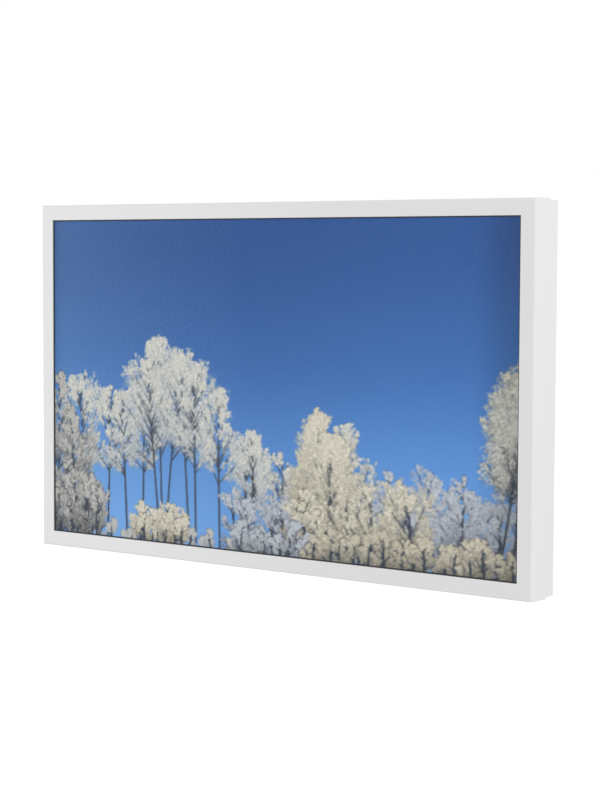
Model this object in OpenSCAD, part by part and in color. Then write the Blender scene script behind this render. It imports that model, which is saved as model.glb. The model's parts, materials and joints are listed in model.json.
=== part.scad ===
// Wall-hung LED picture light panel: a lit picture behind a hinged front frame.
// X runs to the right, Z up, and the wall is the plane y = 0 behind the panel.
// The origin is the centre of the wall rail's screw pattern.

/* [Picture window] */
// Width of the picture window
window_w = 1096; // [700:1:1400]
// Height of the picture window
window_h = 616; // [480:1:800]

/* [Front frame] */
// Width of the white border round the window
border = 29; // [29:0.5:45]
// Depth of the hinged front frame
door_depth = 47; // [40:1:60]
// Sheet thickness of the front frame
frame_t = 2; // [1.5:0.1:2.5]
// Radius of the frame's outer front edges
edge_r = 3; // [1:0.5:4]

/* [Wall box] */
// Depth of the side walls of the wall box
box_depth = 25; // [22:1:40]
// How far the wall box stands in from the front frame
box_step = 3; // [2:0.5:5]
// Sheet thickness of the wall box
box_t = 1.5; // [1:0.1:2]
// Gap between the front frame and the wall box
seam = 1; // [0.8:0.1:2]
// Gap between the wall box's rim and the wall
wall_gap = 1; // [0.5:0.5:3]
// Depth of the pocket behind the wall box for the wall rail
pocket = 12; // [12:1:16]

/* [Cover and light stack] */
// Thickness of the foam gasket under the clear cover
gasket_t = 1.5; // [1:0.1:2]
// How far the gasket shows inside the window
gasket_show = 2.5; // [1:0.1:4]
// Thickness of the clear cover
cover_t = 3; // [2:0.5:4]
// How far the clear cover reaches past the window
cover_lap = 20; // [18:0.5:20]
// Air gap between the clear cover and the picture film
cover_gap = 0.5; // [0.4:0.1:1]
// Thickness of the picture film
film_t = 0.3; // [0.2:0.1:0.5]
// Thickness of the opal diffuser
diffuser_t = 3; // [2:0.5:4]
// Thickness of the light guide
guide_t = 6; // [4:0.5:8]
// How far the light guide reaches past the window
guide_lap = 8; // [6:0.5:8]
// Thickness of the reflector sheet
reflector_t = 0.5; // [0.3:0.1:0.8]
// Sheet thickness of the light tray
tray_t = 1.2; // [1:0.1:1.5]

/* [LED strips] */
// Distance between two LEDs
led_pitch = 24; // [18:1:40]
// Length of an LED
led_l = 5; // [3:0.5:7]
// Height of an LED above its board
led_h = 0.7; // [0.5:0.1:1]
// Thickness of the LED board
board_t = 1.2; // [0.8:0.1:1.6]
// Thickness of the heat rail behind the LED board
heat_t = 2; // [1.5:0.1:2.5]

/* [Wall rail] */
// Length of the rail on the wall
rail_l = 700; // [640:1:760]
// Distance from the panel's top edge down to the rail's screw pattern
rail_drop = 130; // [110:1:200]
// Distance between the rail's screw holes along the rail
screw_x = 600; // [400:1:620]
// Distance between the two rows of screw holes
screw_z = 16; // [14:1:20]
// Radius of the rail's screw holes
screw_r = 2.75; // [2:0.25:3.5]
// Height of the hook that the panel is lifted off
hook_h = 14; // [10:1:16]

/* [Hinges and locks] */
// Radius of a hinge knuckle
knuckle_r = 3.2; // [2.8:0.1:3.4]
// Radius of a hinge pin
pin_r = 1.75; // [1.2:0.05:2]
// Length of one hinge knuckle
knuckle_l = 17; // [12:1:25]
// Distance from a corner of the front frame to the outer hinges
hinge_inset = 110; // [70:1:150]
// Radius of a lock's plug
plug_r = 4.5; // [3.5:0.1:5]
// Distance from the frame's right edge to the right lock
lock_inset = 110; // [60:1:200]

/* [Driver] */
// Length of the LED driver
driver_l = 190; // [140:1:220]
// Height of the LED driver
driver_w = 62; // [45:1:70]
// Depth of the LED driver's case
driver_d = 28; // [20:1:30]
// Bore of the cable grommet
cable_r = 4; // [3:0.5:5]

/* [Hidden] */
$fn = 48;
cut = 1;              // how far a cutter runs past what it cuts
slip = 0.05;          // radial running clearance of pins and plugs
rest_gap = 0.3;       // gap between pieces that move apart

panel_w = window_w + 2 * border;
panel_h = window_h + 2 * border;
panel_d = door_depth + seam + box_depth + wall_gap;
panel_z = rail_drop - panel_h / 2;     // height of the panel's centre

// Planes from the front to the wall
y_front = -panel_d;
y_gasket = y_front + frame_t;
y_cover = y_gasket + gasket_t;
y_retainer = y_cover + cover_t;
y_film = y_retainer + cover_gap;
y_diffuser = y_film + film_t;
y_guide = y_diffuser + diffuser_t;
y_reflector = y_guide + guide_t;
y_tray = y_reflector + reflector_t;
y_tray_back = y_tray + tray_t;
y_door_back = y_front + door_depth;
y_box = y_door_back + seam;
y_rim = -wall_gap;
y_back = -pocket;
y_floor = y_back - box_t;              // inside face of the back plate

box_w = panel_w - 2 * box_step;
box_h = panel_h - 2 * box_step;
cover_w = window_w + 2 * cover_lap;
cover_h = window_h + 2 * cover_lap;
guide_w = window_w + 2 * guide_lap;
guide_h = window_h + 2 * guide_lap;
guide_play = 0.5;                      // gap round the light guide's ends
led_gap = 0.4;                         // gap from an LED to the light guide
strip_h = led_gap + led_h + board_t + heat_t;
tray_w = guide_w + 2 * guide_play + 2 * tray_t;
tray_h = guide_h + 2 * strip_h + 2 * tray_t;

// Retaining bars clamp the cover between the tray and the frame's walls
retainer_t = 2;
bar_play = 1;                          // gap from a bar to the frame's wall
tray_play = 2.3;                       // gap from a bar to the light tray
bar_in_x = tray_w / 2 + tray_play;
bar_out_x = panel_w / 2 - frame_t - bar_play;
bar_in_z = tray_h / 2 + tray_play;
bar_out_z = panel_h / 2 - frame_t - bar_play;
stud_r = 1.5;
stud_x = (cover_w / 2 + bar_out_x) / 2;
stud_z = (cover_h / 2 + bar_out_z) / 2;
nut_r = 2.6;
studs_along = 5;
studs_up = 3;
stud_inset = 60;

// Hinge line, outside the left wall and level with the seam
hinge_x = -panel_w / 2 - knuckle_r - 0.5;
hinge_y = (y_door_back + y_box) / 2;
leaf_t = 1.5;
leaf_h = 3 * knuckle_l + 2 * 0.5;
hinge_zs = [for (s = [-1, 0, 1]) s * (panel_h / 2 - hinge_inset)];

// Hook locks in the frame's lower wall
lock_y = y_box - 12;
lock_xs = [panel_w / 2 - lock_inset, 0];
housing_r = 7;
lock_floor = -panel_h / 2 + frame_t;   // inside face of the frame's lower wall
housing_top = lock_floor + 5;
hook_t = 2;
hook_z = housing_top + 0.5;
tab_w = 16;
tab_t = 1.5;
tab_y = y_box + 0.5;
tab_reach = sqrt(pow(tab_w / 2, 2) + pow(tab_y + tab_t - lock_y, 2));
hook_in = tab_reach + 0.5;
hook_out = hook_in + 4;
hook_sweep = 50;

// Wall rail and the hanging rail that drops behind its hook
rail_t = 2;
rail_low = -20;
web_z = screw_z / 2 + 6;               // underside of the rail's shelf
web_t = 2.5;
hook_gap = 4;                          // slot between the wall leaf and the hook
hang_z = web_z + web_t;
hang_t = 2.2;
hang_y = -rail_t - (hook_gap + hang_t) / 2;
hang_top = hang_z + hook_h + 12;
hang_l = rail_l + 60;

// Light tray carriers and the electric parts on the back plate
standoff_r = 5;
carrier_r = 2;                         // screw radius in a standoff
standoff_x = tray_w / 2 - 150;
standoff_z = tray_h / 2 - 150;
driver_z = -90;                        // driver centre, from the panel's centre
lid_t = 1.5;
foot_l = 12;
term_x = driver_l / 2 + foot_l + 30;
term_w = 30;
term_d = 16;
grommet_x = term_x + 60;
grommet_lip = 2;
grommet_r = cable_r + 4;
plug_z = panel_h / 2 - 60;             // height of the LED connectors from the centre
wire_r = 1.8;
wire_y = y_floor - 12;
wire_x = -driver_l / 2 - foot_l - 25;
plug_d = 8;

// A box between two opposite corners
module span(a, b) translate(a) cube(b - a);
module rod_x(r, x0, x1) translate([x0, 0, 0]) rotate([0, 90, 0]) cylinder(r = r, h = x1 - x0);
module rod_y(r, y0, y1) translate([0, y0, 0]) rotate([-90, 0, 0]) cylinder(r = r, h = y1 - y0);
module rod_z(r, z0, z1) translate([0, 0, z0]) cylinder(r = r, h = z1 - z0);
// What follows is placed from the panel's centre
module at_panel() translate([0, 0, panel_z]) children();
module ring(w, h, in_w, in_h, y0, y1) difference() {
    span([-w / 2, y0, -h / 2], [w / 2, y1, h / 2]);
    span([-in_w / 2, y0 - cut, -in_h / 2], [in_w / 2, y1 + cut, in_h / 2]);
}
// A flat sheet centred on the panel
module sheet(w, h, y0, t) span([-w / 2, y0, -h / 2], [w / 2, y0 + t, h / 2]);

// ---- fixed to the wall
module wall_rail() color("silver") difference() {
    union() {
        span([-rail_l / 2, -rail_t, rail_low], [rail_l / 2, 0, hang_z + hook_h]);
        span([-rail_l / 2, -2 * rail_t - hook_gap, web_z], [rail_l / 2, 0, hang_z]);
        span([-rail_l / 2, -2 * rail_t - hook_gap, web_z],
            [rail_l / 2, -rail_t - hook_gap, hang_z + hook_h]);
    }
    for (x = [-1, 1], z = [-1, 1])
        translate([x * screw_x / 2, 0, z * screw_z / 2]) rod_y(screw_r, -rail_t - cut, cut);
}

// ---- wall box and what it carries
module wall_box() color("white") at_panel() difference() {
    span([-box_w / 2, y_box, -box_h / 2], [box_w / 2, y_rim, box_h / 2]);
    sheet(box_w - 2 * box_t, box_h - 2 * box_t, y_box - cut, y_floor - y_box + cut);
    sheet(box_w - 2 * box_t, box_h - 2 * box_t, y_back, y_rim - y_back + cut);
    carriers() rod_y(carrier_r + slip, y_floor - cut, y_back + cut);
    translate([grommet_x, 0, driver_z]) rod_y(grommet_r - 2, y_floor - cut, y_back + cut);
    vents();
}
// Rows of slots through the back plate, low and high
module vents() {
    slot_l = 40;
    slot_h = 5;
    for (row = [-1, 1], i = [-3:3])
        translate([i * 70, 0, row * (box_h / 2 - 35)])
            span([-slot_l / 2, y_floor - cut, -slot_h / 2], [slot_l / 2, y_back + cut, slot_h / 2]);
}
module carriers() for (x = [-1, 0, 1], z = [-1, 1])
    translate([x * standoff_x, 0, z * standoff_z]) children();
module hanging_rail() color("silver") {
    span([-hang_l / 2, y_back, hang_z + 2], [hang_l / 2, y_back + hang_t, hang_top]);
    span([-hang_l / 2, y_back, hang_top - hang_t], [hang_l / 2, hang_y + hang_t, hang_top]);
    span([-hang_l / 2, hang_y, hang_z + rest_gap], [hang_l / 2, hang_y + hang_t, hang_top]);
}
module hanging_rivets() color("gainsboro") for (i = [-3:2:3])
    translate([i * hang_l / 7, 0, hang_top - 10]) rod_y(3, y_back + hang_t, y_back + hang_t + 1.2);
module corner_gussets() color("silver") at_panel() {
    leg = 32;
    for (x = [-1, 1], z = [-1, 1])
        translate([x * (box_w / 2 - box_t), y_box + 4, z * (box_h / 2 - box_t)])
            rotate([-90, 0, 0]) linear_extrude(height = box_t)
                polygon([[0, 0], [-x * leg, 0], [0, z * leg]]);
}
module wall_bumpers() color("black") at_panel() for (x = [-1, 1], z = [-1, 1])
    translate([x * (box_w / 2 - 40), 0, z * (box_h / 2 - 30)]) rod_y(9, y_back, 0);

module light_tray() color("silver") at_panel() difference() {
    sheet(tray_w, tray_h, y_diffuser, y_tray_back - y_diffuser);
    sheet(tray_w - 2 * tray_t, tray_h - 2 * tray_t, y_diffuser - cut, y_tray - y_diffuser + cut);
}
module tray_standoffs() color("silver") at_panel() carriers() difference() {
    rod_y(standoff_r, y_tray_back, y_floor);
    rod_y(carrier_r + slip, y_tray_back - cut, y_floor + cut);
}
module tray_screws() color("gray") at_panel() carriers() {
    rod_y(carrier_r, y_floor - 15, y_back);
    rod_y(4, y_back, y_back + 2.2);
}
module reflector_sheet() color("white") at_panel() sheet(guide_w, guide_h, y_reflector, reflector_t);
module light_guide() color("azure") at_panel() sheet(guide_w, guide_h, y_guide, guide_t);
module diffuser_sheet() color("ivory") at_panel() sheet(guide_w, guide_h, y_diffuser, diffuser_t);
module picture_film() color("steelblue") at_panel() sheet(guide_w, guide_h, y_film, film_t);

// A strip along the light guide's edge: side 1 is the top, -1 the bottom
module strip(side, z0, t, len, y0, y1) at_panel() {
    near = guide_h / 2 + z0;
    lo = side > 0 ? near : -near - t;
    span([-len / 2, y0, lo], [len / 2, y1, lo + t]);
}
module heat_rail(side) color("silver")
    strip(side, led_gap + led_h + board_t, heat_t, guide_w, y_guide - 2, y_tray);
module led_board(side) color("whitesmoke")
    strip(side, led_gap + led_h, board_t, guide_w - 10, y_guide, y_reflector);
module leds(side) color("gold") {
    half = floor((guide_w / 2 - 20) / led_pitch);
    for (i = [-half:half]) translate([i * led_pitch, 0, 0])
        strip(side, led_gap, led_h, led_l, y_guide + 1.5, y_reflector - 1.5);
}
module led_connectors() color("white") at_panel() for (s = [-1, 1])
    translate([wire_x, 0, s * plug_z])
        span([-7, y_tray_back, -5], [7, y_tray_back + plug_d, 5]);
// A wire from the driver's end, up or down the back plate and forward to its connector
module led_wire(side) color("crimson") at_panel() {
    z0 = driver_z + side * 10;
    z1 = side * plug_z;
    translate([0, wire_y, z0]) rod_x(wire_r, wire_x, -driver_l / 2);
    translate([wire_x, wire_y, z0]) sphere(wire_r);
    translate([wire_x, wire_y, 0]) rod_z(wire_r, min(z0, z1), max(z0, z1));
    translate([wire_x, wire_y, z1]) sphere(wire_r);
    translate([wire_x, 0, z1]) rod_y(wire_r, y_tray_back + plug_d, wire_y);
}

module driver_case() color("silver") at_panel() translate([0, 0, driver_z]) {
    difference() {
        span([-driver_l / 2, y_floor - driver_d, -driver_w / 2], [driver_l / 2, y_floor, driver_w / 2]);
        span([-driver_l / 2 + 2, y_floor - driver_d - cut, -driver_w / 2 + 2],
            [driver_l / 2 - 2, y_floor - 2, driver_w / 2 - 2]);
    }
    for (s = [-1, 1]) translate([s * (driver_l + foot_l) / 2, 0, 0])
        span([-foot_l / 2, y_floor - 2, -12], [foot_l / 2, y_floor, 12]);
}
module driver_lid() color("lightgray") at_panel() translate([0, y_floor - driver_d - lid_t, driver_z])
    span([-driver_l / 2, 0, -driver_w / 2], [driver_l / 2, lid_t, driver_w / 2]);
module driver_screws() color("gray") at_panel() translate([0, 0, driver_z]) {
    for (s = [-1, 1]) translate([s * (driver_l + foot_l) / 2, 0, 0])
        rod_y(3.2, y_floor - 4, y_floor - 2);
    for (x = [-1, 1], z = [-1, 1]) translate([x * (driver_l / 2 - 8), 0, z * (driver_w / 2 - 8)])
        rod_y(2.5, y_floor - driver_d - lid_t - 1.5, y_floor - driver_d - lid_t);
}
module terminal_block() color("ivory") at_panel() translate([term_x, 0, driver_z])
    span([-term_w / 2, y_floor - term_d, -14], [term_w / 2, y_floor, 14]);
module terminal_screws() color("gray") at_panel() for (i = [-1:1])
    translate([term_x, 0, driver_z + i * 9]) rod_y(2.2, y_floor - term_d - 1, y_floor - term_d);
module mains_wires() color("saddlebrown") at_panel() for (i = [-1:1])
    translate([0, y_floor - 8, driver_z + i * 9]) rod_x(1.2, driver_l / 2, term_x - term_w / 2);
module earth_stud() color("goldenrod") at_panel() translate([term_x, 0, driver_z + 40]) {
    rod_y(2, y_floor - 14, y_floor);
    rotate([-90, 0, 0]) translate([0, 0, y_floor - 5]) cylinder(r = 4.5, h = 5, $fn = 6);
}
// A rubber ring that lines the cable hole in the back plate, with a lip on each side
module cable_grommet() color("black") at_panel() translate([grommet_x, 0, driver_z]) difference() {
    union() {
        rod_y(grommet_r, y_floor - grommet_lip, y_floor);
        rod_y(grommet_r - 2, y_floor, y_back);
        rod_y(grommet_r, y_back, y_back + grommet_lip);
    }
    rod_y(cable_r, y_floor - grommet_lip - cut, y_back + grommet_lip + cut);
}

// ---- hinges: the box holds the outer knuckles and the pin, the frame the middle knuckle
module hinge_leaves_box() color("gainsboro") at_panel() for (z = hinge_zs) translate([0, 0, z]) {
    wall_x = -box_w / 2;
    span([wall_x - leaf_t, y_box + 0.5, -leaf_h / 2], [wall_x, y_rim - 4, leaf_h / 2]);
    for (s = [-1, 1]) translate([0, 0, s * (knuckle_l + 0.5)]) difference() {
        union() {
            translate([hinge_x, hinge_y, 0]) rod_z(knuckle_r, -knuckle_l / 2, knuckle_l / 2);
            span([hinge_x + pin_r + 0.6, y_box, -knuckle_l / 2],
                [wall_x, y_box + 2, knuckle_l / 2]);
        }
        translate([hinge_x, hinge_y, 0])
            rod_z(pin_r + slip, -knuckle_l / 2 - cut, knuckle_l / 2 + cut);
    }
}
module hinge_pins() color("silver") at_panel() for (z = hinge_zs) translate([hinge_x, hinge_y, z]) {
    rod_z(pin_r, -leaf_h / 2, leaf_h / 2);
    for (s = [-1, 1]) translate([0, 0, s * (leaf_h / 2 + 0.75)]) rod_z(knuckle_r, -0.75, 0.75);
}
module hinge_leaves_door() color("gainsboro") at_panel() for (z = hinge_zs) translate([0, 0, z]) {
    wall_x = -panel_w / 2;
    clear_y = hinge_y - knuckle_r - 0.5;
    span([wall_x - leaf_t, y_door_back - 24, -leaf_h / 2], [wall_x, clear_y, leaf_h / 2]);
    difference() {
        union() {
            translate([hinge_x, hinge_y, 0]) rod_z(knuckle_r, -knuckle_l / 2, knuckle_l / 2);
            span([wall_x - leaf_t, clear_y, -knuckle_l / 2], [wall_x, hinge_y - 0.5, knuckle_l / 2]);
        }
        translate([hinge_x, hinge_y, 0])
            rod_z(pin_r + slip, -knuckle_l / 2 - cut, knuckle_l / 2 + cut);
    }
}
module hinge_rivets() color("silver") at_panel() for (z = hinge_zs, s = [-1, 1])
    translate([-panel_w / 2 - leaf_t - 1, y_door_back - 14, z + s * knuckle_l]) rod_x(2.4, 0, 1);

// ---- front frame and what swings with it
// The frame's outline seen along an edge, with round front corners
module front_outline(w) {
    translate([-w / 2, edge_r]) square([w, door_depth - edge_r]);
    translate([-w / 2 + edge_r, 0]) square([w - 2 * edge_r, door_depth]);
    for (s = [-1, 1]) translate([s * (w / 2 - edge_r), edge_r]) circle(edge_r);
}
module front_frame() color("white") at_panel() difference() {
    translate([0, y_front, 0]) intersection() {
        linear_extrude(height = panel_h, center = true) front_outline(panel_w);
        rotate([0, 90, 0]) linear_extrude(height = panel_w, center = true) front_outline(panel_h);
    }
    sheet(panel_w - 2 * frame_t, panel_h - 2 * frame_t, y_gasket, door_depth);
    sheet(window_w, window_h, y_front - cut, frame_t + 2 * cut);
    for (x = lock_xs) translate([x, lock_y, -panel_h / 2])
        rod_z(housing_r, -cut, frame_t + cut);
}
module cover_gasket() color("black") at_panel()
    ring(cover_w, cover_h, window_w - 2 * gasket_show, window_h - 2 * gasket_show, y_gasket, y_cover);
module clear_cover() color("lightcyan", 0.3) at_panel() sheet(cover_w, cover_h, y_cover, cover_t);

// Places of the studs along one bar
function stud_places(half, n) =
    [for (i = [0:n - 1]) -(half - stud_inset) + i * 2 * (half - stud_inset) / (n - 1)];
module top_studs(side) for (x = stud_places(cover_w / 2, studs_along))
    translate([x, 0, side * stud_z]) children();
module side_studs(side) for (z = stud_places(cover_h / 2, studs_up))
    translate([side * stud_x, 0, z]) children();
module stud_hole() rod_y(stud_r + slip, y_retainer - cut, y_retainer + retainer_t + cut);
module retainer_along(side) color("silver") at_panel() difference() {
    translate([0, 0, side * (bar_in_z + bar_out_z) / 2])
        sheet(cover_w, bar_out_z - bar_in_z, y_retainer, retainer_t);
    top_studs(side) stud_hole();
}
module retainer_up(side) color("silver") at_panel() difference() {
    translate([side * (bar_in_x + bar_out_x) / 2, 0, 0])
        sheet(bar_out_x - bar_in_x, 2 * bar_in_z - 1, y_retainer, retainer_t);
    side_studs(side) stud_hole();
}
module all_studs() for (s = [-1, 1]) {
    top_studs(s) children();
    side_studs(s) children();
}
module retainer_studs() color("goldenrod") at_panel() all_studs()
    rod_y(stud_r, y_gasket, y_retainer + retainer_t + 2.5);
module retainer_nuts() color("gainsboro") at_panel() all_studs() difference() {
    rotate([-90, 0, 0]) translate([0, 0, y_retainer + retainer_t])
        cylinder(r = nut_r, h = 2, $fn = 6);
    rod_y(stud_r + slip, y_retainer, y_retainer + retainer_t + 2 + cut);
}

// ---- magnetic catches at the right side
catch_zs = [-200, 200];
catch_w = 10;
magnet_y = y_door_back - 2;
plate_gap = 0.5;
module catch_magnets() color("dimgray") at_panel() for (z = catch_zs) translate([box_w / 2 - box_t, 0, z])
    span([-catch_w, magnet_y, -20], [0, magnet_y + 14, 20]);
module catch_plates() color("silver") at_panel() for (z = catch_zs)
    translate([panel_w / 2 - frame_t, 0, z]) {
        span([-catch_w - 2, magnet_y - plate_gap - 1.5, -18], [0, magnet_y - plate_gap, 18]);
        span([-1.5, magnet_y - plate_gap - 14, -18], [0, magnet_y - plate_gap, 18]);
    }

// ---- hook locks
module strike_plates() color("silver") at_panel() for (x = lock_xs)
    translate([x, tab_y, -box_h / 2 + box_t]) {
        span([-tab_w / 2, 0, 0], [tab_w / 2, 10, 1.2]);
        span([-tab_w / 2, 0, 0], [tab_w / 2, tab_t, hook_z + hook_t + 2 + box_h / 2 - box_t]);
    }
module lock_housings() color("silver") at_panel() for (x = lock_xs) translate([x, lock_y, 0]) difference() {
    union() {
        rod_z(housing_r, -panel_h / 2, housing_top);
        rod_z(housing_r + 2, -panel_h / 2 - 1.5, -panel_h / 2);
    }
    rod_z(plug_r + slip, -panel_h / 2 - 1.5 - cut, housing_top + cut);
}
module lock_nuts() color("gainsboro") at_panel() for (x = lock_xs) translate([x, lock_y, 0]) difference() {
    translate([0, 0, lock_floor]) cylinder(r = housing_r + 3, h = 3, $fn = 6);
    rod_z(housing_r, lock_floor - cut, lock_floor + 3 + cut);
}
module lock_plug(x) color("silver") at_panel() translate([x, lock_y, 0]) difference() {
    rod_z(plug_r, -panel_h / 2 - 1.3, hook_z);
    span([-3, -0.6, -panel_h / 2 - 1.3 - cut], [3, 0.6, -panel_h / 2 + 3]);
}
// The hook is an arm with an arc at its end that swings in behind the strike tab
module lock_hook(x) color("gray") at_panel() translate([x, lock_y, hook_z]) {
    arm_w = 6;
    far = 2 * hook_out;
    span([0, -arm_w / 2, 0], [hook_in + 2, arm_w / 2, hook_t]);
    rod_z(plug_r + 1, 0, hook_t);
    rod_z(2.5, hook_t, hook_t + 2);
    intersection() {
        difference() {
            rod_z(hook_out, 0, hook_t);
            rod_z(hook_in, -cut, hook_t + cut);
        }
        linear_extrude(height = hook_t) polygon([[0, 0], [far * cos(-8), far * sin(-8)],
            [far, far], [far * cos(hook_sweep), far * sin(hook_sweep)]]);
    }
}

wall_rail();
wall_box();
hanging_rail();
hanging_rivets();
corner_gussets();
wall_bumpers();
light_tray();
tray_standoffs();
tray_screws();
reflector_sheet();
light_guide();
diffuser_sheet();
picture_film();
heat_rail(1);  // heat_rail_top
heat_rail(-1);  // heat_rail_bottom
led_board(1);  // led_board_top
led_board(-1);  // led_board_bottom
leds(1);  // leds_top
leds(-1);  // leds_bottom
led_connectors();
led_wire(1);  // led_wire_top
led_wire(-1);  // led_wire_bottom
driver_case();
driver_lid();
driver_screws();
terminal_block();
terminal_screws();
mains_wires();
earth_stud();
cable_grommet();
hinge_leaves_box();
hinge_pins();
strike_plates();
catch_magnets();
front_frame();
cover_gasket();
clear_cover();
retainer_along(1);  // retainer_top
retainer_along(-1);  // retainer_bottom
retainer_up(-1);  // retainer_left
retainer_up(1);  // retainer_right
retainer_studs();
retainer_nuts();
hinge_leaves_door();
hinge_rivets();
catch_plates();
lock_housings();
lock_nuts();
lock_plug(lock_xs[0]);  // lock_plug_right
lock_hook(lock_xs[0]);  // lock_hook_right
lock_plug(lock_xs[1]);  // lock_plug_left
lock_hook(lock_xs[1]);  // lock_hook_left
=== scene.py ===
import json
import math

import bmesh
import bpy
import numpy as np
from mathutils import Matrix, Vector


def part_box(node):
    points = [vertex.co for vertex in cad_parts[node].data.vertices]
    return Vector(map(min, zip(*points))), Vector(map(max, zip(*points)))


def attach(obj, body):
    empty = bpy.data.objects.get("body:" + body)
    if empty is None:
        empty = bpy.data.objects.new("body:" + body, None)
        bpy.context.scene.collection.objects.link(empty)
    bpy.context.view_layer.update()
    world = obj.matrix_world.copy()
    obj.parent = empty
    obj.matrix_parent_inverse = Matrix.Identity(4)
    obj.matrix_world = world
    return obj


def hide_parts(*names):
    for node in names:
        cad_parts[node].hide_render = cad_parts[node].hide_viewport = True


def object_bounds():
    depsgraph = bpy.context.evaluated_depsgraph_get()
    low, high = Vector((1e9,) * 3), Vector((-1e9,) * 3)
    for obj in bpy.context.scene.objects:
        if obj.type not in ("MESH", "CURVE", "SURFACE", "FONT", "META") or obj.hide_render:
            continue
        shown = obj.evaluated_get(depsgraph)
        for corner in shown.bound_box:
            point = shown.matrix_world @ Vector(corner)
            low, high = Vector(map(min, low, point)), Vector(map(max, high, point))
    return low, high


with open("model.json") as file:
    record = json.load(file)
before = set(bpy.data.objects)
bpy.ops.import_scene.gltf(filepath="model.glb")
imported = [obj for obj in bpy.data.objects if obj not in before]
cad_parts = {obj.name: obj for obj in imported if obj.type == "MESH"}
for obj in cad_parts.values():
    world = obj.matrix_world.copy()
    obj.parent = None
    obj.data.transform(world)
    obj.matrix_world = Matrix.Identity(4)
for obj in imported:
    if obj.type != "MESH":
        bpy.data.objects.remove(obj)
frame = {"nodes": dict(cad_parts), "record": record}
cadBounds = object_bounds()
print("frame loaded:", len(frame["nodes"]), "nodes")

nodeBody = {n: b for b, ns in frame["record"]["behaviour"]["bodies"].items() for n in ns}
nodeSlot = {s["node"]: s["material_slot"] for s in frame["record"]["subparts"]}
frontLow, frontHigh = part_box("front_frame")
panelMid = (frontLow + frontHigh) / 2
filmLow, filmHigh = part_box("picture_film")
guideLap = 0.008  # the film reaches this far past the window
windowLow = Vector((filmLow.x + guideLap, 0, filmLow.z + guideLap))
windowSize = Vector((filmHigh.x - filmLow.x - 2 * guideLap, 0, filmHigh.z - filmLow.z - 2 * guideLap))



def newMaterial(name):
    mat = bpy.data.materials.new(name)
    mat.use_nodes = True
    nodes = mat.node_tree.nodes
    return mat, nodes, mat.node_tree.links, nodes["Principled BSDF"]


def toMesh(bm, name):
    mesh = bpy.data.meshes.new(name)
    bm.to_mesh(mesh)
    bm.free()
    return mesh


# ---- camera, aimed at the front face from the right and a little above
look = {
    "azimuth": 38.79,
    "elevation": 4.06,
    "roll": 0.25,
    "distance": 3.906,
    "lens": 97.5,
    "shiftUp": 0.0161,
    "aimRight": 0.0804,
    "aimUp": -0.0428,
}


def makeCamera():
    az, el, roll = (math.radians(look[k]) for k in ("azimuth", "elevation", "roll"))
    away = Vector((math.sin(az) * math.cos(el), -math.cos(az) * math.cos(el), math.sin(el)))
    right = Vector((math.cos(az), math.sin(az), 0))
    up = away.cross(right)
    tiltedRight = right * math.cos(roll) + up * math.sin(roll)
    tiltedUp = away.cross(tiltedRight)
    aim = Vector((panelMid.x + look["aimRight"], frontLow.y, panelMid.z + look["aimUp"]))
    data = bpy.data.cameras.new("camera")
    data.lens = look["lens"]
    data.sensor_width = 36
    data.shift_y = look["shiftUp"]
    cam = bpy.data.objects.new("camera", data)
    turn = Matrix((tiltedRight, tiltedUp, away)).transposed().to_4x4()
    cam.matrix_world = Matrix.Translation(aim + away * look["distance"]) @ turn
    bpy.context.scene.collection.objects.link(cam)
    bpy.context.scene.camera = cam
    return cam


camera = makeCamera()
print("camera set")

# ---- shared surface detail: slow colour drift, uneven gloss and a fine grain


def makeDetailGroup():
    group = bpy.data.node_groups.new("surfaceDetail", "ShaderNodeTree")
    face = group.interface
    inputs = {"Color": "Color", "Dark Color": "Color", "Drift Scale": "Float", "Roughness": "Float",
              "Gloss Drift": "Float", "Stretch": "Vector", "Grain Scale": "Float", "Grain Depth": "Float"}
    outputs = {"Color": "Color", "Roughness": "Float", "Normal": "Vector"}
    for way, sockets in (("INPUT", inputs), ("OUTPUT", outputs)):
        for name, kind in sockets.items():
            face.new_socket(name=name, in_out=way, socket_type="NodeSocket" + kind)
    nodes, links = group.nodes, group.links
    given, made = nodes.new("NodeGroupInput"), nodes.new("NodeGroupOutput")
    coords, mapping = nodes.new("ShaderNodeTexCoord"), nodes.new("ShaderNodeMapping")
    links.new(coords.outputs["Object"], mapping.inputs["Vector"])
    links.new(given.outputs["Stretch"], mapping.inputs["Scale"])
    drift = nodes.new("ShaderNodeTexNoise")
    links.new(mapping.outputs["Vector"], drift.inputs["Vector"])
    links.new(given.outputs["Drift Scale"], drift.inputs["Scale"])
    drift.inputs["Detail"].default_value = 5
    mix = nodes.new("ShaderNodeMix")
    mix.data_type = "RGBA"
    links.new(drift.outputs["Fac"], mix.inputs[0])
    links.new(given.outputs["Color"], mix.inputs[6])
    links.new(given.outputs["Dark Color"], mix.inputs[7])
    links.new(mix.outputs[2], made.inputs["Color"])
    grain = nodes.new("ShaderNodeTexNoise")
    grain.inputs["Detail"].default_value = 3
    links.new(mapping.outputs["Vector"], grain.inputs["Vector"])
    links.new(given.outputs["Grain Scale"], grain.inputs["Scale"])
    centred = nodes.new("ShaderNodeMath")
    centred.operation = "SUBTRACT"
    centred.inputs[1].default_value = 0.5
    links.new(grain.outputs["Fac"], centred.inputs[0])
    gloss = nodes.new("ShaderNodeMath")
    gloss.operation = "MULTIPLY_ADD"
    links.new(centred.outputs[0], gloss.inputs[0])
    links.new(given.outputs["Gloss Drift"], gloss.inputs[1])
    links.new(given.outputs["Roughness"], gloss.inputs[2])
    links.new(gloss.outputs[0], made.inputs["Roughness"])
    bump = nodes.new("ShaderNodeBump")
    bump.inputs["Strength"].default_value = 1
    links.new(given.outputs["Grain Depth"], bump.inputs["Distance"])
    links.new(grain.outputs["Fac"], bump.inputs["Height"])
    links.new(bump.outputs["Normal"], made.inputs["Normal"])
    return group


detailGroup = makeDetailGroup()

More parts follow.
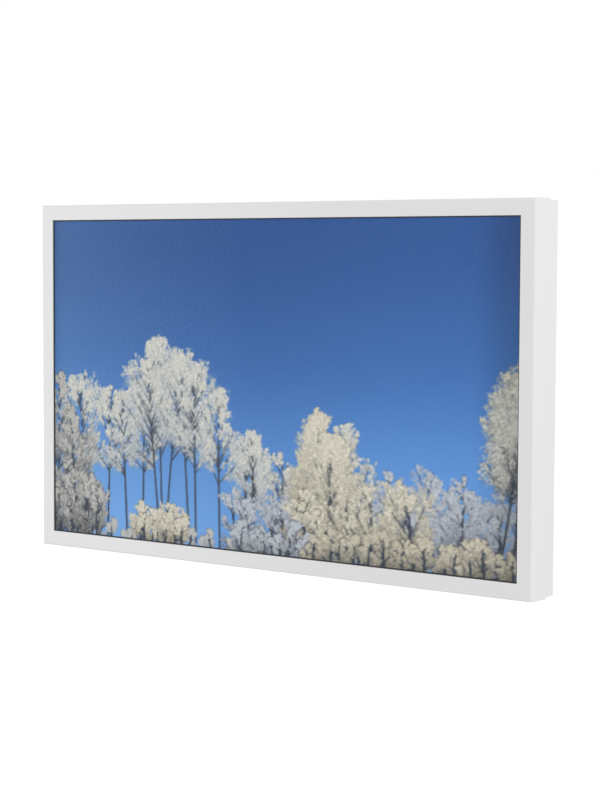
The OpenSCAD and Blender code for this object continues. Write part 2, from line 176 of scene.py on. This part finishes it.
# colour and darker colour, roughness, metal, drift scale, gloss drift, stretch,
# grain scale, and grain depth in metres
finishes = {
    "white_powder": dict(color=(0.80, 0.80, 0.80), dark=(0.785, 0.787, 0.79), rough=0.24, drift=6,
                         glossDrift=0.10, grain=900, depth=0.000012),
    "zinc_steel": dict(color=(0.62, 0.63, 0.64), dark=(0.47, 0.49, 0.52), rough=0.38, metal=1, drift=60,
                       glossDrift=0.3, grain=260, depth=0.00002),
    "mill_aluminium": dict(color=(0.78, 0.79, 0.80), dark=(0.68, 0.69, 0.71), rough=0.34, metal=1, drift=30,
                           glossDrift=0.35, stretch=(0.03, 1, 1), grain=900, depth=0.00002),
    "screw_steel": dict(color=(0.45, 0.45, 0.46), dark=(0.33, 0.33, 0.35), rough=0.35, metal=1, drift=300,
                        glossDrift=0.3, grain=1500, depth=0.00002),
    "nickel": dict(color=(0.66, 0.64, 0.60), dark=(0.58, 0.56, 0.52), rough=0.18, metal=1, drift=200,
                   glossDrift=0.15, grain=1500, depth=0.00001),
    "brass": dict(color=(0.72, 0.53, 0.22), dark=(0.58, 0.41, 0.16), rough=0.32, metal=1, drift=300,
                  glossDrift=0.25, grain=1500, depth=0.00002),
    "black_rubber": dict(color=(0.022, 0.022, 0.023), dark=(0.035, 0.035, 0.036), rough=0.75, drift=120,
                         glossDrift=0.2, grain=1400, depth=0.00008),
    "white_film": dict(color=(0.86, 0.86, 0.86), dark=(0.82, 0.82, 0.83), rough=0.55, drift=20,
                       glossDrift=0.1, grain=2000, depth=0.00001),
    "opal": dict(color=(0.88, 0.88, 0.86), dark=(0.85, 0.85, 0.84), rough=0.4, drift=20,
                 glossDrift=0.1, grain=1500, depth=0.00001),
    "board_white": dict(color=(0.82, 0.82, 0.79), dark=(0.76, 0.76, 0.73), rough=0.35, drift=90,
                        glossDrift=0.2, grain=1200, depth=0.00002),
    "led_phosphor": dict(color=(0.90, 0.72, 0.16), dark=(0.82, 0.62, 0.12), rough=0.3, drift=400,
                         glossDrift=0.1, grain=2500, depth=0.00001),
    "ivory_plastic": dict(color=(0.74, 0.71, 0.60), dark=(0.69, 0.66, 0.56), rough=0.42, drift=90,
                          glossDrift=0.2, grain=1800, depth=0.00003),
    "grey_lid": dict(color=(0.36, 0.37, 0.38), dark=(0.32, 0.33, 0.34), rough=0.4, drift=60,
                     glossDrift=0.2, grain=1300, depth=0.00003),
    "wire_red": dict(color=(0.42, 0.02, 0.02), dark=(0.34, 0.015, 0.015), rough=0.4, drift=120,
                     glossDrift=0.2, grain=1500, depth=0.00002),
    "wire_brown": dict(color=(0.13, 0.05, 0.02), dark=(0.10, 0.04, 0.015), rough=0.4, drift=120,
                       glossDrift=0.2, grain=1500, depth=0.00002),
    "magnet_dark": dict(color=(0.05, 0.05, 0.055), dark=(0.035, 0.035, 0.04), rough=0.5, drift=120,
                        glossDrift=0.2, grain=1500, depth=0.00003),
}


def makeFinish(name, f):
    mat, nodes, links, shader = newMaterial(name)
    detail = nodes.new("ShaderNodeGroup")
    detail.node_tree = detailGroup
    detail.inputs["Color"].default_value = (*f["color"], 1)
    detail.inputs["Dark Color"].default_value = (*f["dark"], 1)
    detail.inputs["Drift Scale"].default_value = f["drift"]
    detail.inputs["Roughness"].default_value = f["rough"]
    detail.inputs["Gloss Drift"].default_value = f["glossDrift"]
    detail.inputs["Stretch"].default_value = f.get("stretch", (1, 1, 1))
    detail.inputs["Grain Scale"].default_value = f["grain"]
    detail.inputs["Grain Depth"].default_value = f["depth"]
    links.new(detail.outputs["Color"], shader.inputs["Base Color"])
    links.new(detail.outputs["Roughness"], shader.inputs["Roughness"])
    links.new(detail.outputs["Normal"], shader.inputs["Normal"])
    shader.inputs["Metallic"].default_value = f.get("metal", 0)
    return mat


materials = {name: makeFinish(name, f) for name, f in finishes.items()}

clearLook = {"ior": 1.07, "rough": 0.02, "haze": (0.97, 0.985, 0.98)}


def makeClearSheet():
    mat, nodes, links, shader = newMaterial("clear_acrylic")
    shader.inputs["Base Color"].default_value = (*clearLook["haze"], 1)
    shader.inputs["IOR"].default_value = clearLook["ior"]
    shader.inputs["Transmission Weight"].default_value = 1
    smear, coords = nodes.new("ShaderNodeTexNoise"), nodes.new("ShaderNodeTexCoord")
    smear.inputs["Scale"].default_value = 7
    links.new(coords.outputs["Object"], smear.inputs["Vector"])
    ramp = nodes.new("ShaderNodeMapRange")
    ramp.inputs["To Min"].default_value = 0
    ramp.inputs["To Max"].default_value = clearLook["rough"]
    links.new(smear.outputs["Fac"], ramp.inputs["Value"])
    links.new(ramp.outputs["Result"], shader.inputs["Roughness"])
    return mat


materials["clear_acrylic"] = makeClearSheet()
print("finishes made")

# ---- the printed picture: frosted trees under a winter sky, grown by rule
picture = {
    "seed": 11,
    "cell": 0.0022,  # size of one painted cell, in metres
    "fineTo": 0.70,  # share of the height that has fine rows, because trees stand there
    "skyRows": 16,
    "low": (106, 157, 220),
    "mid": (66, 112, 177),
    "high": (47, 83, 144),
    "leftGlow": (0.085, 0.078, 0.055),
    "rightGlow": (0.02, 0.035, 0.05),
    # painted shade: how far the print is darkened at its right and left edges
    "rightShade": 0.17,
    "leftShade": 0.05,
}
brush = {
    "trunk": 0.93,  # length of the trunk, as a share of the height
    "firstTurn": 34,  # degrees between trunk and bough
    # count, length share, turn and bare share of each later fork
    "forks": ((9, 0.58, 24, 0.12), (6, 0.50, 26, 0.1), (2, 0.50, 40, 0.1)),
    "insideSteps": 4,
    "insideCover": 0.22,
    "behind": 0.80,  # light on the twigs behind the boughs
    "wood": ((0, 300, 0.55), (1, 70, 0.16)),  # level, steps, half width in cells
    "woodTop": 0.7,  # the trunk is hidden above this share
    "woodCover": 0.75,
    "twigs": ((2, 16, 0.16), (3, 8, 0.26), (4, 5, 0.34)),  # level, steps, cover
    "twigCover": 0.85,
    "tone": 0.27,  # how much one branch differs from the next
    "bushReach": 0.5,
    "bushBoughs": 12,
}
# root and height in shares of the window, lean in degrees, reach of the boughs,
# droop of the twigs, share of bare trunk, number of boughs
birchFrost, birchShade = (206, 204, 196), (132, 148, 174)
creamFrost, creamShade = (210, 204, 188), (126, 118, 102)
duskFrost, duskShade = (186, 184, 180), (66, 68, 72)
lilacFrost, lilacShade = (184, 188, 196), (100, 107, 124)
bark = (60, 66, 78)


def tree(u, h, lean, reach, droop, bare, boughs, frost=birchFrost, shade=birchShade, foot=-0.02):
    return dict(u=u, h=h, lean=lean, reach=reach, droop=droop, bare=bare, boughs=boughs, frost=frost,
                shade=shade, foot=foot)


farTrees = [
    tree(0.445, 0.38, 3, 0.30, 0.7, 0.30, 26),
    tree(0.470, 0.40, -1, 0.26, 0.9, 0.32, 30),
    tree(0.530, 0.37, 1, 0.20, 0.7, 0.30, 20, shade=lilacShade),
    tree(0.085, 0.54, -5, 0.30, 0.4, 0.40, 34),
    tree(0.130, 0.52, 2, 0.26, 0.4, 0.45, 26),
    tree(0.179, 0.50, -3, 0.24, 0.5, 0.42, 22),
    tree(0.215, 0.54, 1, 0.24, 0.5, 0.45, 24),
    tree(0.263, 0.67, -2, 0.27, 0.45, 0.44, 46),
    tree(0.266, 0.62, 6, 0.27, 0.45, 0.44, 36),
    tree(0.258, 0.60, -6, 0.28, 0.45, 0.44, 36),
    tree(0.326, 0.62, -4, 0.27, 0.45, 0.42, 40),
    tree(0.340, 0.60, -1, 0.24, 0.45, 0.42, 30),
    tree(0.394, 0.52, -1, 0.24, 0.45, 0.40, 28),
]
nearTrees = [
    tree(0.010, 0.56, 0, 0.26, 0.1, 0.05, 40, duskFrost, duskShade),
    tree(0.055, 0.42, -4, 0.34, 0.1, 0.05, 36, duskFrost, duskShade),
    tree(0.670, 0.43, -2, 0.30, 0.0, 0.25, 26, birchFrost, lilacShade),
    tree(0.700, 0.36, -9, 0.34, 0.0, 0.25, 22, birchFrost, lilacShade),
    tree(0.600, 0.47, 2, 0.30, 0.0, 0.05, 110, creamFrost, creamShade),
    tree(0.630, 0.40, 1, 0.36, 0.0, 0.05, 90, creamFrost, creamShade),
    tree(1.010, 0.60, 2, 0.32, 0.1, 0.45, 84, creamFrost, duskShade),
    tree(0.985, 0.52, 6, 0.36, 0.1, 0.50, 66, birchFrost, duskShade),
    tree(0.960, 0.46, 10, 0.32, 0.1, 0.55, 44, birchFrost, duskShade),
    tree(0.895, 0.31, 0, 0.28, 0.0, 0.10, 26, lilacFrost, lilacShade),
]
# rows of bushes: from, to, height, count, frost, shade
farHedges = [
    dict(start=0.42, stop=0.60, h=0.19, count=9, frost=lilacFrost, shade=lilacShade),
    dict(start=0.70, stop=1.0, h=0.27, count=17, frost=lilacFrost, shade=lilacShade),
    dict(start=0.0, stop=0.42, h=0.07, count=14, frost=duskFrost, shade=birchShade),
]
nearHedges = [
    dict(start=0.56, stop=0.82, h=0.25, count=15, frost=creamFrost, shade=creamShade),
    dict(start=0.20, stop=0.31, h=0.13, count=8, frost=creamFrost, shade=creamShade),
    dict(start=0.0, stop=0.11, h=0.22, count=10, frost=duskFrost, shade=duskShade),
    dict(start=0.42, stop=0.62, h=0.11, count=12, frost=lilacFrost, shade=(96, 102, 112)),
    dict(start=0.58, stop=1.0, h=0.11, count=26, frost=(196, 188, 170), shade=(88, 86, 80)),
]


def smooth(t):
    t = np.clip(t, 0, 1)
    return t * t * (3 - 2 * t)


def paintSky(u, v):
    low, mid, high = (np.array(picture[k]) / 255 for k in ("low", "mid", "high"))
    toMid, toHigh = smooth(v / 0.62)[..., None], smooth((v - 0.35) / 0.65)[..., None]
    sky = low + (mid - low) * toMid
    sky = sky + (high - sky) * toHigh
    leftGlow = np.clip(1 - u / 0.45, 0, 1)[..., None] ** 1.3
    sky = sky + leftGlow * np.array(picture["leftGlow"]) * (0.6 + 0.4 * v[..., None])
    rightGlow = (smooth((u - 0.45) / 0.4) * (1 - v * 0.5))[..., None]
    sky = sky + rightGlow * np.array(picture["rightGlow"])
    return sky


# points are spread over their four nearest cells and laid over what is there
def layOn(canvas, cover, x, z, colour, strength):
    rows, cols = canvas.shape[:2]
    ix, iz = np.floor(x).astype(int), np.floor(z).astype(int)
    fx, fz = x - ix, z - iz
    weight, tint = np.zeros(rows * cols), np.zeros((rows * cols, 3))
    shares = ((0, 0, (1 - fx) * (1 - fz)), (1, 0, fx * (1 - fz)), (0, 1, (1 - fx) * fz), (1, 1, fx * fz))
    for dx, dz, w in shares:
        cx, cz = ix + dx, iz + dz
        ok = (cx >= 0) & (cx < cols) & (cz >= 0) & (cz < rows)
        at = cz[ok] * cols + cx[ok]
        weight += np.bincount(at, w[ok], rows * cols)
        for c in range(3):
            tint[:, c] += np.bincount(at, (w * colour[:, c])[ok], rows * cols)
    alpha = (1 - np.exp(-strength * weight)).reshape(rows, cols, 1)
    mean = (tint / np.maximum(weight, 1e-6)[:, None]).reshape(rows, cols, 3)
    canvas[:] = canvas * (1 - alpha) + mean * alpha
    cover[:] = 1 - (1 - cover) * (1 - alpha[..., 0])


# each level of branches as arrays of start x, start z, angle and length, in cells
def growBranches(rng, plant, height):
    levels = [(np.array([plant["x"]]), np.array([plant["z"]]), np.array([math.radians(90 - plant["lean"])]),
               np.array([height * brush["trunk"]]))]
    forks = ((plant["boughs"], plant["reach"], brush["firstTurn"], plant["bare"]), *brush["forks"])
    for depth, (count, size, turn, bare) in enumerate(forks):
        x, z, angle, length = levels[-1]
        along = rng.uniform(bare, 1.0, (len(x), count))
        side = np.where(rng.random(along.shape) < 0.5, -1, 1)
        up = (along - bare) / (1 - bare)
        open_ = 1.35 - 0.75 * up if depth == 0 else rng.uniform(0.3, 1.3, along.shape)
        newAngle = angle[:, None] + side * np.radians(turn) * open_ * rng.uniform(0.6, 1.2, along.shape)
        taper = np.clip(1 - ((up - 0.3) / 0.75) ** 2, 0.22, 1)
        newLength = length[:, None] * size * taper * rng.uniform(0.55, 1.2, along.shape)
        newX = x[:, None] + np.cos(angle)[:, None] * length[:, None] * along
        newZ = z[:, None] + np.sin(angle)[:, None] * length[:, None] * along
        levels.append(tuple(a.ravel() for a in (newX, newZ, newAngle, newLength)))
    return levels


# points along every branch of a level, how far out each one is, and one random tone for each branch
def alongBranches(rng, level, steps, droop, spread=0.2):
    x, z, angle, length = level
    s = np.linspace(0, 1, steps)[None, :]
    px = x[:, None] + np.cos(angle)[:, None] * length[:, None] * s
    pz = z[:, None] + np.sin(angle)[:, None] * length[:, None] * s - droop * length[:, None] * s ** 2
    px = px + rng.normal(0, spread, px.shape)
    tone = np.broadcast_to(rng.normal(0, 1, (len(x), 1)), px.shape)
    return px.ravel(), pz.ravel(), np.broadcast_to(s, px.shape).ravel(), tone.ravel()


def paintTree(rng, canvas, cover, plant, toCells):
    height = plant["h"] * windowSize.z / picture["cell"]
    plant = dict(plant, x=toCells(plant["u"], 0)[0], z=toCells(0, plant["foot"])[1])
    levels = growBranches(rng, plant, height)
    frost, shade, wood = (np.array(c) / 255 for c in (plant["frost"], plant["shade"], bark))
    # the soft shade inside the crown
    x, z, _, tone = alongBranches(rng, levels[3], brush["insideSteps"], plant["droop"], 1.0)
    inside = shade * (0.92 + 0.10 * tone)[:, None]
    layOn(canvas, cover, x, z + rng.normal(0, 1, len(z)), np.clip(inside, 0, 1), brush["insideCover"])
    # frosted twigs behind the boughs, then boughs, then brighter twigs in front
    paintTwigs(rng, canvas, cover, plant, levels, height, frost, shade, brush["behind"])
    for level, steps, thick in brush["wood"]:
        x, z, s, _ = alongBranches(rng, levels[level], steps, 0, 0.1)
        if level == 0:
            keep = s < brush["woodTop"]
            x, z, s = x[keep], z[keep], s[keep]
        for shift in (-1, 0, 1):
            wide = shift * thick * (1.2 - s)
            strength = brush["woodCover"] * min(1, 2 * thick)
            layOn(canvas, cover, x + wide, z, np.tile(wood, (len(x), 1)), strength)
    paintTwigs(rng, canvas, cover, plant, levels, height, frost, shade, 1.0)


def paintTwigs(rng, canvas, cover, plant, levels, height, frost, shade, bright):
    for level, steps, strength in brush["twigs"]:
        pick = rng.random(len(levels[level][0])) < 0.5
        part = tuple(a[pick] for a in levels[level])
        x, z, s, tone = alongBranches(rng, part, steps, plant["droop"] * (0.2 + 0.3 * level))
        lift = smooth((z - plant["z"]) / height * 1.15)
        light = bright * (0.28 + 0.62 * lift + 0.12 * s) + brush["tone"] * tone
        colour = shade * (0.78 + 0.22 * lift)[:, None]
        colour = colour + (frost - colour) * np.clip(light, -0.45, 1.3)[:, None]
        layOn(canvas, cover, x, z, np.clip(colour, 0, 1), strength * brush["twigCover"])


def paintPicture():
    rng = np.random.default_rng(picture["seed"])
    cell = picture["cell"]
    cols = int((filmHigh.x - filmLow.x) / cell) + 2
    rows = int((filmHigh.z - filmLow.z) / cell) + 2

    def toCells(u, v):
        return (guideLap + u * windowSize.x) / cell, (guideLap + v * windowSize.z) / cell

    gridX, gridZ = np.meshgrid(np.arange(cols) * cell, np.arange(rows) * cell)
    u, v = (gridX - guideLap) / windowSize.x, (gridZ - guideLap) / windowSize.z
    canvas, cover = paintSky(u, v), np.zeros((rows, cols))
    for plants, hedges in ((farTrees, farHedges), (nearTrees, nearHedges)):
        for plant in plants:
            paintTree(rng, canvas, cover, plant, toCells)
        for hedge in hedges:
            paintHedge(rng, canvas, cover, hedge, toCells)
    # painted shade: the print is darkened towards its right edge and, less, towards its left edge
    rightShade = picture["rightShade"] * smooth((u - 0.90) / 0.10)
    leftShade = picture["leftShade"] * smooth((0.03 - u) / 0.03)
    canvas *= (1 - rightShade - leftShade)[..., None]
    print("picture painted:", cols, "x", rows, "cells")
    return np.clip(canvas, 0, 1), cover


def paintHedge(rng, canvas, cover, hedge, toCells):
    for i in range(hedge["count"]):
        u = hedge["start"] + (hedge["stop"] - hedge["start"]) * (i + rng.uniform(0, 1)) / hedge["count"]
        bush = tree(u, hedge["h"] * rng.uniform(0.6, 1.15), rng.uniform(-9, 9), brush["bushReach"], 0.0,
                    0.02, brush["bushBoughs"], hedge["frost"], hedge["shade"])
        paintTree(rng, canvas, cover, bush, toCells)


# the film is one closed sheet, with fine rows where the trees are
def makeFilm(canvas, cover):
    cell = picture["cell"]
    rows, cols = cover.shape
    fineRows = int(picture["fineTo"] * (rows - 1))
    segments = fineRows + picture["skyRows"]
    bm = bmesh.new()
    bmesh.ops.create_grid(bm, x_segments=cols - 1, y_segments=segments, size=0.5)
    width, height = filmHigh.x - filmLow.x, filmHigh.z - filmLow.z
    fineHeight = fineRows * cell
    for vert in bm.verts:
        row = (vert.co.y + 0.5) * segments
        if row <= fineRows:
            up = row * cell
        else:
            up = fineHeight + (row - fineRows) / picture["skyRows"] * (height - fineHeight)
        vert.co = Vector((filmLow.x + (vert.co.x + 0.5) * width, filmLow.y, filmLow.z + up))
    rim = bmesh.ops.extrude_edge_only(bm, edges=[e for e in bm.edges if e.is_boundary])
    backVerts = [g for g in rim["geom"] if isinstance(g, bmesh.types.BMVert)]
    bmesh.ops.translate(bm, verts=backVerts, vec=(0, filmHigh.y - filmLow.y, 0))
    bmesh.ops.holes_fill(bm, edges=[e for e in bm.edges if e.is_boundary], sides=0)
    bmesh.ops.recalc_face_normals(bm, faces=bm.faces)
    mesh = toMesh(bm, "winterFilm")
    count = len(mesh.vertices)
    place = np.zeros(count * 3)
    mesh.vertices.foreach_get("co", place)
    place = place.reshape(-1, 3)
    x = np.clip((place[:, 0] - filmLow.x) / cell, 0, cols - 1.001)
    z = np.clip((place[:, 2] - filmLow.z) / cell, 0, rows - 1.001)
    ix, iz = x.astype(int), z.astype(int)
    fx, fz = (x - ix)[:, None], (z - iz)[:, None]
    full = np.dstack([np.where(canvas <= 0.04045, canvas / 12.92, ((canvas + 0.055) / 1.055) ** 2.4), cover])
    near = full[iz, ix] * (1 - fx) + full[iz, ix + 1] * fx
    far = full[iz + 1, ix] * (1 - fx) + full[iz + 1, ix + 1] * fx
    printed = mesh.attributes.new("printed", "FLOAT_COLOR", "POINT")
    printed.data.foreach_set("color", (near * (1 - fz) + far * fz).ravel())
    return bpy.data.objects.new("winterFilm", mesh)


def makePrint():
    mat, nodes, links, shader = newMaterial("printed_film")
    shader.inputs["Base Color"].default_value = (0.01, 0.01, 0.01, 1)
    shader.inputs["Roughness"].default_value = 0.5
    shader.inputs["Specular IOR Level"].default_value = 0.1
    shader.inputs["Emission Strength"].default_value = 1
    colour, coords = nodes.new("ShaderNodeAttribute"), nodes.new("ShaderNodeTexCoord")
    colour.attribute_name = "printed"
    sparkle = nodes.new("ShaderNodeTexNoise")
    sparkle.inputs["Scale"].default_value = 380
    sparkle.inputs["Detail"].default_value = 4
    links.new(coords.outputs["Object"], sparkle.inputs["Vector"])
    gain = nodes.new("ShaderNodeMapRange")  # frost sparkles between 0.85 and 1.15 of its painted light
    gain.inputs["From Min"].default_value = 0.3
    gain.inputs["From Max"].default_value = 0.7
    gain.inputs["To Min"].default_value = 0.85
    gain.inputs["To Max"].default_value = 1.15
    links.new(sparkle.outputs["Fac"], gain.inputs["Value"])
    where = nodes.new("ShaderNodeMix")
    where.inputs[2].default_value = 1
    links.new(colour.outputs["Alpha"], where.inputs[0])
    links.new(gain.outputs["Result"], where.inputs[3])
    lit = nodes.new("ShaderNodeVectorMath")
    lit.operation = "SCALE"
    links.new(colour.outputs["Color"], lit.inputs[0])
    links.new(where.outputs[0], lit.inputs["Scale"])
    links.new(lit.outputs[0], shader.inputs["Emission Color"])
    return mat


def place(piece, node, material):
    bpy.context.scene.collection.objects.link(piece)
    piece.data.materials.clear()
    piece.data.materials.append(material)
    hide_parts(node)
    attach(piece, nodeBody[node])


place(makeFilm(*paintPicture()), "picture_film", makePrint())
print("film made")

# ---- folded sheet and cut bars get soft edges; width of the softened edge in metres
softEdges = {
    "front_frame": 0.00035, "wall_box": 0.0006, "light_tray": 0.0004, "wall_rail": 0.0004,
    "hanging_rail": 0.0004, "hinge_leaves_box": 0.0003, "hinge_leaves_door": 0.0003,
    "driver_case": 0.0006, "driver_lid": 0.0005, "terminal_block": 0.0008, "led_connectors": 0.0006,
    "corner_gussets": 0.0003, "strike_plates": 0.0003, "catch_magnets": 0.0006, "catch_plates": 0.0003,
    "retainer_top": 0.0004, "retainer_bottom": 0.0004, "retainer_left": 0.0004, "retainer_right": 0.0004,
    "wall_bumpers": 0.001, "tray_screws": 0.0005, "driver_screws": 0.0005, "hinge_rivets": 0.0005,
    "hanging_rivets": 0.0006, "lock_hook_right": 0.0003, "lock_hook_left": 0.0003,
}
creaseAngle = math.radians(35)


# a copy of the CAD mesh with merged corners and a small bevel on each sharp edge
def soften(node, width):
    bm = bmesh.new()
    bm.from_mesh(frame["nodes"][node].data)
    bmesh.ops.remove_doubles(bm, verts=bm.verts, dist=0.000002)
    bmesh.ops.dissolve_limit(bm, angle_limit=math.radians(0.5), verts=bm.verts, edges=bm.edges)
    sharp = [e for e in bm.edges if len(e.link_faces) == 2 and e.calc_face_angle() > creaseAngle]
    bmesh.ops.bevel(bm, geom=sharp, offset=width, segments=2, profile=0.5, affect="EDGES", material=-1,
                    clamp_overlap=True)
    mesh = toMesh(bm, node + "Soft")
    for poly in mesh.polygons:
        poly.use_smooth = True
    mesh.set_sharp_from_angle(angle=creaseAngle)
    piece = bpy.data.objects.new(node + "Soft", mesh)
    place(piece, node, materials[nodeSlot[node]])
    even = piece.modifiers.new("evenNormals", "WEIGHTED_NORMAL")
    even.keep_sharp = True


for node, width in softEdges.items():
    soften(node, width)
print("edges softened on", len(softEdges), "pieces")

for node, piece in frame["nodes"].items():
    if node not in softEdges and node != "picture_film":
        piece.data.materials.clear()
        piece.data.materials.append(materials[nodeSlot[node]])

# ---- studio: pale floor far below, white surround, soft lamps and one glossy card
studio = {
    "floorDrop": 0.75,
    "floorSize": 30,
    "floorGlow": 0.4,
    "ambient": 0.765,
    "keyPower": 12,
    "keySpot": (-1.6, -3.2, 1.6),
    "keySize": 2.0,
    "sidePower": 27,
    "sideSpot": (3.4, -0.9, 0.9),
    "sideSize": 1.5,
    "cardLight": 2.4,
    "cardEdge": 0.424,  # where the card's reflection ends, as a share of the window's width
    "cardFront": 2.6,
    "cardSize": 1.6,
}


def makeFloor():
    mat, nodes, links, shader = newMaterial("studioFloor")
    shader.inputs["Base Color"].default_value = (0.93, 0.93, 0.93, 1)
    shader.inputs["Roughness"].default_value = 1
    shader.inputs["Specular IOR Level"].default_value = 0
    path = nodes.new("ShaderNodeLightPath")
    shader.inputs["Emission Color"].default_value = (1, 1, 1, 1)
    glow = nodes.new("ShaderNodeMath")
    glow.operation = "MULTIPLY"
    glow.inputs[1].default_value = studio["floorGlow"]
    links.new(path.outputs["Is Camera Ray"], glow.inputs[0])
    links.new(glow.outputs[0], shader.inputs["Emission Strength"])
    bm = bmesh.new()
    bmesh.ops.create_grid(bm, x_segments=2, y_segments=2, size=studio["floorSize"])
    bmesh.ops.translate(bm, verts=bm.verts, vec=(0, 0, cadBounds[0][2] - studio["floorDrop"]))
    mesh = toMesh(bm, "studioFloor")
    mesh.materials.append(mat)
    floor = bpy.data.objects.new("studioFloor", mesh)
    bpy.context.scene.collection.objects.link(floor)


# a tall white card that only shows in glossy surfaces; its edge is placed by mirroring the camera
def makeCard():
    eye = camera.matrix_world.translation
    mirrored = Vector((eye.x, 2 * frontLow.y - eye.y, eye.z))
    edge = Vector((windowLow.x + studio["cardEdge"] * windowSize.x, frontLow.y, 0))
    along = (-studio["cardFront"] - edge.y) / (edge.y - mirrored.y)
    right = edge.x + (edge.x - mirrored.x) * along
    bm = bmesh.new()
    bmesh.ops.create_grid(bm, x_segments=1, y_segments=1, size=studio["cardSize"])
    bmesh.ops.rotate(bm, verts=bm.verts, matrix=Matrix.Rotation(math.radians(90), 3, "X"))
    middle = (right - studio["cardSize"], -studio["cardFront"], panelMid.z)
    bmesh.ops.translate(bm, verts=bm.verts, vec=middle)
    mesh = toMesh(bm, "studioCard")
    mat, _, _, shader = newMaterial("studioCard")
    shader.inputs["Base Color"].default_value = (0, 0, 0, 1)
    shader.inputs["Emission Color"].default_value = (1, 1, 1, 1)
    shader.inputs["Emission Strength"].default_value = studio["cardLight"]
    mesh.materials.append(mat)
    card = bpy.data.objects.new("studioCard", mesh)
    for ray in ("camera", "diffuse", "transmission", "shadow", "volume_scatter"):
        setattr(card, "visible_" + ray, False)
    bpy.context.scene.collection.objects.link(card)


def makeLamp(name, spot, power, size):
    data = bpy.data.lights.new(name, "AREA")
    data.energy, data.size = power, size
    lamp = bpy.data.objects.new(name, data)
    spot = Vector(spot)
    turn = (panelMid - spot).to_track_quat("-Z", "Y").to_matrix().to_4x4()
    lamp.matrix_world = Matrix.Translation(spot) @ turn
    lamp.visible_glossy = False
    bpy.context.scene.collection.objects.link(lamp)


def makeWorld():
    world = bpy.data.worlds.new("surround")
    bpy.context.scene.world = world
    world.use_nodes = True
    nodes, links = world.node_tree.nodes, world.node_tree.links
    back, path = nodes["Background"], nodes.new("ShaderNodeLightPath")
    back.inputs["Color"].default_value = (1, 1, 1, 1)
    seen = path.outputs["Is Camera Ray"]
    for ray in ("Is Glossy Ray", "Is Transmission Ray"):
        either = nodes.new("ShaderNodeMath")
        either.operation = "MAXIMUM"
        links.new(seen, either.inputs[0])
        links.new(path.outputs[ray], either.inputs[1])
        seen = either.outputs[0]
    level = nodes.new("ShaderNodeMapRange")
    level.inputs["To Min"].default_value = studio["ambient"]
    level.inputs["To Max"].default_value = 1
    links.new(seen, level.inputs["Value"])
    links.new(level.outputs["Result"], back.inputs["Strength"])


makeFloor()
makeCard()
makeWorld()
for side in ("key", "side"):
    makeLamp(side + "Lamp", studio[side + "Spot"], studio[side + "Power"], studio[side + "Size"])
bpy.context.scene.view_settings.view_transform = "Standard"
print("studio lit")
